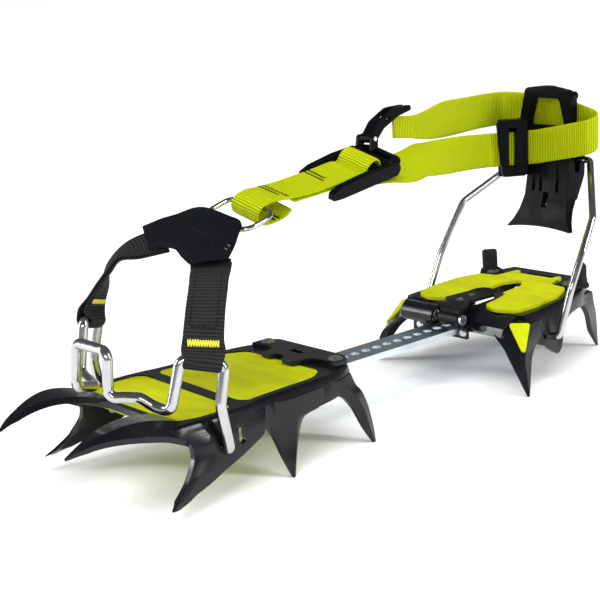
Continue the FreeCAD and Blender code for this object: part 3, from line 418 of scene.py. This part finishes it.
class Band:
    """A flat band between two edge lines, given in the CAD design's millimetres."""

    def __init__(self, edges, thick, pitch=1.0, cup=0.0, lift=0.0, steps=8):
        rows = curve([[*e[0], *e[1]] for e in edges], steps)
        middle = (rows[:, :3] + rows[:, 3:]) / 2
        s = np.concatenate([[0], np.cumsum(np.linalg.norm(np.diff(middle, axis=0), axis=1))])
        self.length = s[-1]
        self.s = np.linspace(0, s[-1], max(3, int(s[-1] / pitch) + 1))
        rows = np.stack([np.interp(self.s, s, rows[:, k]) for k in range(6)], axis=1)
        self.a, self.b = rows[:, :3], rows[:, 3:]
        run = np.gradient((self.a + self.b) / 2, axis=0)
        self.normal = unit(np.cross(run, self.b - self.a))
        self.thick, self.cup, self.lift = thick, cup, lift

    def place(self, u, s, h=0.0):
        """Point at share u across, s along and h above the outer face."""
        a, b, n = (np.array([np.interp(s, self.s, v[:, k]) for k in range(3)])
                   for v in (self.a, self.b, self.normal))
        rise = self.lift + self.cup * math.sin(math.pi * u) + self.thick / 2 + h
        return at(*(a * (1 - u) + b * u + n * rise))

    def build(self, name):
        across = [0, 0.015, 0.05, 0.12] + [0.2 + 0.1 * k for k in range(7)] + [0.88, 0.95, 0.985, 1]
        half = [self.thick / 2 * (1 - 0.75 * abs(2 * u - 1) ** 22) for u in across]
        loop = list(zip(across, half)) + [(u, -t) for u, t in list(zip(across, half))[::-1]]
        verts, uvs = [], []
        for a, b, n, s in zip(self.a, self.b, self.normal, self.s):
            width = np.linalg.norm(b - a)
            for u, t in loop:
                p = a * (1 - u) + b * u + n * (self.lift + self.cup * math.sin(math.pi * u) + t)
                verts.append(at(*p))
                uvs.append((u * width / 1000, s / 1000))
        return mesh_object(name, verts, tube_faces(len(loop), len(self.s)), uvs=uvs)


def stitches(name, runs, radius):
    """Sewing thread: every pair of neighbouring points in a run is one stitch, in metres."""
    verts, faces = [], []
    sides = 6
    profile = ((0, 0.3), (0.12, 0.85), (0.5, 1.0), (0.88, 0.85), (1, 0.3))
    turns = np.linspace(0, 2 * math.pi, sides, endpoint=False)
    for run in runs:
        for p, q in zip(run[:-1], run[1:]):
            p, q = np.array(p), np.array(q)
            along = unit(q - p)
            side = unit(np.cross(along, np.array([0.31, 0.17, 0.93])))
            up = np.cross(side, along)
            faces += tube_faces(sides, len(profile), len(verts))
            for t, share in profile:
                centre = p + (q - p) * t
                verts += [centre + radius * share * (side * math.cos(w) + up * math.sin(w)) for w in turns]
    return mesh_object(name, verts, faces)


def seam(band, points, pitch, gap, h=0.1):
    """Separate stitches along a line of (share across, mm along) points on a band."""
    runs = []
    for (u0, s0), (u1, s1) in zip(points[:-1], points[1:]):
        width = np.linalg.norm(band.b[0] - band.a[0])
        size = math.hypot((u1 - u0) * width, s1 - s0)
        count = max(1, round(size / pitch))
        for k in range(count):
            t0, t1 = (k + gap / 2) / count, (k + 1 - gap / 2) / count
            runs.append([band.place(u0 + (u1 - u0) * t, s0 + (s1 - s0) * t, h) for t in (t0, t1)])
    return runs


def tack(band, u0, u1, s, height, count, h, rng):
    """Bar tack: a tight zigzag across a band."""
    run = []
    for k in range(count + 1):
        rise = height / 2 if k % 2 else -height / 2
        run.append(band.place(u0 + (u1 - u0) * k / count, s + rise + rng.uniform(-0.12, 0.12), h))
    return run


def sewn(obj, material):
    """A piece between the bail and the harness: gives it its material and bakes its placement into its mesh."""
    obj.data.materials.append(material)
    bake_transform(obj)
    return obj


LOOP_NEAR = ((40.1, 17.4, 70.2), (48.4, 31.4, 66.4))      # the bail wire inside each leg's fold
LOOP_FAR = ((-40.2, 20.9, 73.8), (-48.2, 33.6, 70.0))
# edge points (front, rear) from the wire up to the patch
NEAR = [((38.2, 18, 73.2), (50.2, 32.6, 71.6)), ((37.4, 20.2, 79), (50.6, 31.8, 77.9)),
        ((32.9, 26.1, 88.5), (47.3, 35.9, 88.8)), ((28.7, 31.5, 95.7), (43.6, 40.7, 96.1)),
        ((24.6, 35.6, 99.8), (39.8, 44.9, 100.1)), ((18.8, 40.6, 100.4), (35.4, 49.6, 102)),
        ((12, 46, 101.6), (29, 56, 104.2))]
FAR = [((-41.2, 20.4, 78.2), (-48.2, 36.2, 73.6)), ((-38.8, 23.2, 83.2), (-48.2, 37.8, 78.5)),
       ((-34.6, 26.8, 90.2), (-47.4, 39.8, 85.7)), ((-31.8, 31.2, 96.0), (-46.0, 39.8, 93.2)),
       ((-28.5, 35.2, 101.6), (-43.0, 43.1, 100.0)), ((-24.0, 42.3, 101.6), (-40.6, 48.9, 105.2)),
       ((-19.6, 47.5, 102.6), (-36.4, 56.4, 108.6)), ((-13, 53, 104.4), (-30, 62, 111))]


def folded(loop, stations, gap, radius):
    """Edge lines of one layer that comes down, goes round the wire and runs back up behind itself."""
    a = np.array([e[0] for e in stations], float)
    b = np.array([e[1] for e in stations], float)
    p, q = np.array(loop[0]), np.array(loop[1])
    axis = unit(q - p)
    up = (a[0] + b[0] - p - q) / 2
    up = unit(up - axis * (up @ axis) + np.array([0, 0, 0.001]))
    out = unit(np.cross(axis, up))
    normals = []
    for k in range(len(a)):
        run = (a + b)[min(k + 1, len(a) - 1)] - (a + b)[max(k - 1, 0)]
        normals.append(unit(np.cross(b[k] - a[k], run)))
    spread = [gap + max(0.0, 0.8 - 0.8 * k) for k in range(len(a))]
    outer = [(a[k] + normals[k] * spread[k], b[k] + normals[k] * spread[k]) for k in range(len(a))][::-1]
    inner = [(a[k] - normals[k] * spread[k], b[k] - normals[k] * spread[k]) for k in range(len(a))]
    turn = [radius * (out * math.cos(t) - up * math.sin(t)) for t in np.linspace(0, math.pi, 9)]
    return outer + [(p + v, q + v) for v in turn] + inner


def leg(mats, name, loop, stations):
    """Doubled webbing, folded round the bail's wire."""
    band = Band(folded(loop, stations, LEG_GAP, LEG_FOLD), LEG_THICK, pitch=0.9)
    obj = sewn(band.build("webbing_%s" % name), mats["black_webbing"])
    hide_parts("webbing_leg_%s" % name)
    return band


def bar_tacks(mats, name, band, places, height, count, rng):
    runs = [tack(band, u0, u1, s, height, count, 0.25, rng) for u0, u1, s in places]
    sewn(stitches("tack_%s" % name, runs, 0.00034), mats["yellow_thread"])


def near_leg(mats):
    """The leg on the viewer's side, with a rectangular seam."""
    band = leg(mats, "near", LOOP_NEAR, NEAR)
    low, high = 14, 42
    lines = seam(band, [(0.17, low), (0.17, high), (0.85, high), (0.85, low), (0.17, low)], 2.5, 0.3, 0.0)
    sewn(stitches("seam_near", lines, 0.00026), mats["seam_thread"])
    bar_tacks(mats, "near", band, [(0.14, 0.88, 48.6)], 3.0, 24, random.Random(3))


def far_leg(mats):
    band = leg(mats, "far", LOOP_FAR, FAR)
    places = [(0.12, 0.86, band.length * 0.37), (0.4, 0.9, band.length * 0.63)]
    bar_tacks(mats, "far", band, places, 2.6, 18, random.Random(5))


# edge points (crotch side, ring side) of the patch from its far arm to its near arm
PATCH_CROTCH = [(-15.2, 43.5, 104.6), (-11.5, 46.6, 105.7), (-6.2, 47.5, 105.9), (-0.6, 47.7, 105.8),
                (3.3, 46.3, 105.2), (7.3, 44.6, 104.3), (10.8, 43.3, 103.7), (14.4, 42.2, 103),
                (15.4, 41.9, 102.8), (16, 41.7, 102.7), (16.6, 41.6, 102.6), (17.2, 41.5, 102.5),
                (17.7, 41.4, 102.4), (18.0, 41.3, 102.3)]
PATCH_RING = [(-37.5, 56.8, 110.8), (-32.6, 64.8, 113.9), (-27.5, 69.5, 115.7), (-24.5, 73.4, 117.3),
              (-21.6, 76.4, 118.5), (-17, 78.2, 119), (-11, 78.2, 118.7), (-3, 77.4, 118),
              (6, 76, 117.2), (13.8, 74.9, 116.4), (20.2, 70.9, 114.9), (24.4, 65.2, 112.4),
              (30.5, 57.6, 109.0), (35.4, 49.6, 105.4)]
PATCH_ROLL = [(-12.4, 75.4, 117.6), (-8, 75.2, 117), (0, 75, 115.6), (8, 74.8, 114), (11.6, 74.7, 113.2)]


def patch(mats):
    """Sewn V-shaped cloth patch, rolled round the ring's front bar."""
    fabric = mats["patch_fabric"]
    band = Band(list(zip(PATCH_CROTCH, PATCH_RING)), 1.3, pitch=1.1, cup=0.5, lift=1.9, steps=6)
    obj = finish_piece(band.build("patch_cloth"), fabric, "harness", "v_patch", slot="patch_fabric")
    sleeve = tube("patch_sleeve", [at(*p) for p in PATCH_ROLL], 0.0027)
    finish_piece(sleeve, fabric, "harness", slot="patch_fabric")
    n = band.length
    runs = seam(band, [(0.08, 2), (0.08, n - 2), (0.93, n - 2)], 2.4, 0.34, 0.0)
    runs += seam(band, [(0.93, n * 0.04), (0.93, n * 0.6)], 2.6, 0.34, 0.0)
    runs += seam(band, [(0.52, n * 0.12), (0.5, n * 0.94)], 2.6, 0.4, 0.0)
    finish_piece(stitches("patch_seams", runs, 0.00022), mats["black_thread"], "harness")
    rng = random.Random(11)
    loose = []
    for u, s in ((0.88, n - 3.5), (0.9, n - 5)):
        p = band.place(u, s, 0.1)
        run = [p]
        for k in range(5):
            p = p + Vector((rng.uniform(-0.9, 0.9), rng.uniform(-0.9, 0.9), rng.uniform(0.0, 0.3))) / 1000
            run.append(p)
        loose.append(run)
    finish_piece(stitches("patch_threads", loose, 0.00016), mats["grey_thread"], "harness")


def tube(name, points, radius):
    """Round soft roll along a line of points in metres, with narrowed ends."""
    sides, ends = 20, 0.6
    rows = curve([tuple(p) for p in points], 6)
    run = unit(np.gradient(rows, axis=0))
    verts, uvs = [], []
    length = np.concatenate([[0], np.cumsum(np.linalg.norm(np.diff(rows, axis=0), axis=1))])
    for k, (p, t) in enumerate(zip(rows, run)):
        side = unit(np.cross(t, np.array([0.0, 0.0, 1.0])))
        up = np.cross(side, t)
        edge = min(length[k], length[-1] - length[k]) / radius
        r = radius * (ends + (1 - ends) * min(1.0, edge))
        for w in np.linspace(0, 2 * math.pi, sides, endpoint=False):
            verts.append(p + r * (side * math.cos(w) + up * math.sin(w)))
            uvs.append((w * radius, length[k]))
    return mesh_object(name, verts, tube_faces(sides, len(rows)), uvs=uvs)


BUCKLE_AT, STRAP_SLOPE, STRAP_ROLL = (0.0, 158.0, 128.9), 8.0, 16.0


def on_strap(x, y, z):
    """A point drawn about the buckle, on the sloping, rolled line of the strap, in design millimetres."""
    r, s = math.radians(STRAP_ROLL), math.radians(STRAP_SLOPE)
    x, z = x * math.cos(r) + z * math.sin(r), -x * math.sin(r) + z * math.cos(r)
    y, z = y * math.cos(s) - z * math.sin(s), y * math.sin(s) + z * math.cos(s)
    return x + BUCKLE_AT[0], y + BUCKLE_AT[1], z + BUCKLE_AT[2]


# upper layer of the ring strap by its place along: y, far edge (x, z), near edge (x, z)
RING_TOP = [(-58, -12.2, 2.6, 7.2, 3.4), (-52, -12.3, 1.6, 7.6, 2.8), (-44, -12.3, 0.9, 8.2, 1.7),
            (-34, -12.1, 0.6, 8.8, 0.9), (-26, -11.8, 0.7, 9.2, 0.8), (-18, -11.2, 0.9, 9.6, 0.9),
            (-11, -10.8, 1.3, 9.8, 1.3), (-6, -10.6, 1.6, 9.8, 1.6), (-2, -10.5, 1.5, 9.8, 1.5),
            (0.6, -10.5, 0.7, 9.8, 0.7), (2.6, -10.5, 1.2, 9.8, 1.2), (4.2, -10.5, 3.6, 9.8, 3.6),
            (6.4, -10.5, 5.6, 9.8, 5.6), (9.2, -10.4, 6.4, 9.8, 6.4)]


def ring_strap(mats):
    """Short lime strap: folded round the ring and over the buckle's second bar, bar-tacked twice."""
    def row(y, xf, zf, xn, zn, drop=0.0):
        return on_strap(xf, y, zf - drop), on_strap(xn, y, zn - drop)
    y0, z0, turn = -62.6, -2.9, 5           # the ring's front bar and the fold round it
    front = [row(y0 + turn * math.cos(t),
                 -11.8, z0 + 0.4 + turn * math.sin(t), 7.4, z0 + 1.0 + turn * math.sin(t))
             for t in np.linspace(math.radians(250), math.radians(85), 8)]
    tail = [row(y, -11.6 + lean, z, 7.6 + lean * 0.6, z + 0.4)
            for y, z, lean in ((-45, -5.2, -1.4), (-47, -6.6, -0.6), (-51, -7.8, 0), (-56, -8.2, 0.1),
                               (-61, -8.0, 0.0))]
    bar = [row(9.6 + 3.9 * math.cos(t), -10.3, 2.2 + 4.1 * math.sin(t), 9.8, 2.2 + 4.1 * math.sin(t))
           for t in np.linspace(math.radians(70), math.radians(-80), 8)]
    under = [row(6, -10.4, -1.4, 9.8, -1.4)] + [row(y, xf, min(zf, 1.2), xn, min(zn, 1.2), 1.6)
                                               for y, xf, zf, xn, zn in RING_TOP[::-1][5:-2]]
    band = Band(tail + front + [row(*r) for r in RING_TOP] + bar + under, SHORT_THICK, pitch=0.8, steps=6)
    obj = band.build("lime_short_strap")
    finish_piece(obj, mats["lime_webbing"], "harness", "ring_strap", slot="lime_webbing")
    top = Band([row(*r) for r in RING_TOP], SHORT_THICK, pitch=0.8, steps=6)
    rng = random.Random(21)
    runs = []
    for s, u0, u1 in ((7.6, 0.03, 0.74), (10.4, 0.05, 0.92), (37.6, 0.04, 0.7), (40.2, 0.04, 0.62)):
        runs.append(tack(top, u0, u1, s, 1.6, 15, -1.6, rng))
    finish_piece(stitches("strap_tacks", runs, 0.00021), mats["dark_thread"], "harness")
    hidden = Band(tail + front, SHORT_THICK, pitch=0.8, steps=6)
    runs = [tack(hidden, 0.72, 0.97, s, 1.6, 7, 0.15, rng) for s in (9.0, 12.0)]
    finish_piece(stitches("tail_tacks", runs, 0.00026), mats["dark_thread"], "harness")


# the long strap lies flat under the buckle and turns upright (lower, upper edge)
STRAP_TWIST = [((9.6, 168, 121.3), (-9.6, 168, 126.9)), ((9.5, 180, 120.6), (-9.4, 180, 127)),
               ((8.6, 190, 119), (-8.8, 190, 128.6)), ((6, 199, 117.8), (-8.8, 199, 131.2)),
               ((3, 208, 117.4), (-9.6, 208, 132.6))]
# middle line of the upright run, and the lean of the upper edge towards the far side in degrees
STRAP_RUN = [(-5.4, 218, 126.2, 34), (-8, 228, 125.4, 30), (-14, 250, 124, 16), (-19.6, 272, 122.6, 5),
             (-23.2, 289, 121.2, 0), (-24.2, 295.4, 120.8, 0), (-23.4, 299.6, 120.6, 0), (-18, 309.2, 120.4, 0),
             (-13.2, 317.4, 120.6, 0), (-10.4, 319.8, 120.8, 0), (-5, 320.5, 121.6, 0), (8, 320.2, 124.2, 0),
             (25, 320, 127.6, 0), (30, 321.4, 129, 0), (32, 325, 130.6, 0), (30, 328.8, 132.4, 0),
             (25, 330.6, 134, 0), (8, 331, 138.4, 0), (-8, 331.2, 140, 0), (-22, 331, 141.4, 0),
             (-30, 329, 142, 0), (-34.2, 324.4, 142.4, 0), (-35.4, 316, 142.6, 0), (-34.6, 303, 142.6, 0),
             (-31.6, 286, 142.6, 2), (-26, 262, 142.8, 8), (-19, 240, 143.6, 14), (-12.4, 225, 145.4, 8),
             (-9.7, 215, 147, 0), (-9.7, 202, 148.4, 0)]


def long_strap(mats):
    """Lime strap from the buckle round the lever and back; its end gathers towards the hook."""
    run = []
    for x, y, z, lean in STRAP_RUN:
        h = 10 * np.array([-math.sin(math.radians(lean)), 0, math.cos(math.radians(lean))])
        gather = 0.42 * min(1.0, max(0.0, (262 - y) / 50)) if z > 141 else 0.0
        middle = np.array([x, y, z])
        run.append((tuple(middle - h * (1 - gather * 0.3)), tuple(middle + h * (1 - gather * 1.7))))
    band = Band(STRAP_TWIST + run, LONG_THICK, pitch=1.2, steps=6)
    obj = band.build("lime_long_strap")
    finish_piece(obj, mats["lime_webbing"], "heel_lever", "long_strap", slot="lime_webbing")


# ---- build ------------------------------------------------------------------------------
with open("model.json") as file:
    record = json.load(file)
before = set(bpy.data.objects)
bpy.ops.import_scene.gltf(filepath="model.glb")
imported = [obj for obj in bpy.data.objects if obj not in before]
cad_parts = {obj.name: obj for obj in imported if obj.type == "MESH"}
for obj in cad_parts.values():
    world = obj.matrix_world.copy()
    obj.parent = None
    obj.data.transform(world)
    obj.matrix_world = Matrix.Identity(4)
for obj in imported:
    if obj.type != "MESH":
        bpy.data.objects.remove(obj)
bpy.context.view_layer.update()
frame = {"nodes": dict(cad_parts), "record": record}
camera()
mats = make_materials()
studio()
node_looks(frame, mats)
near_leg(mats)
far_leg(mats)
patch(mats)
ring_strap(mats)
long_strap(mats)
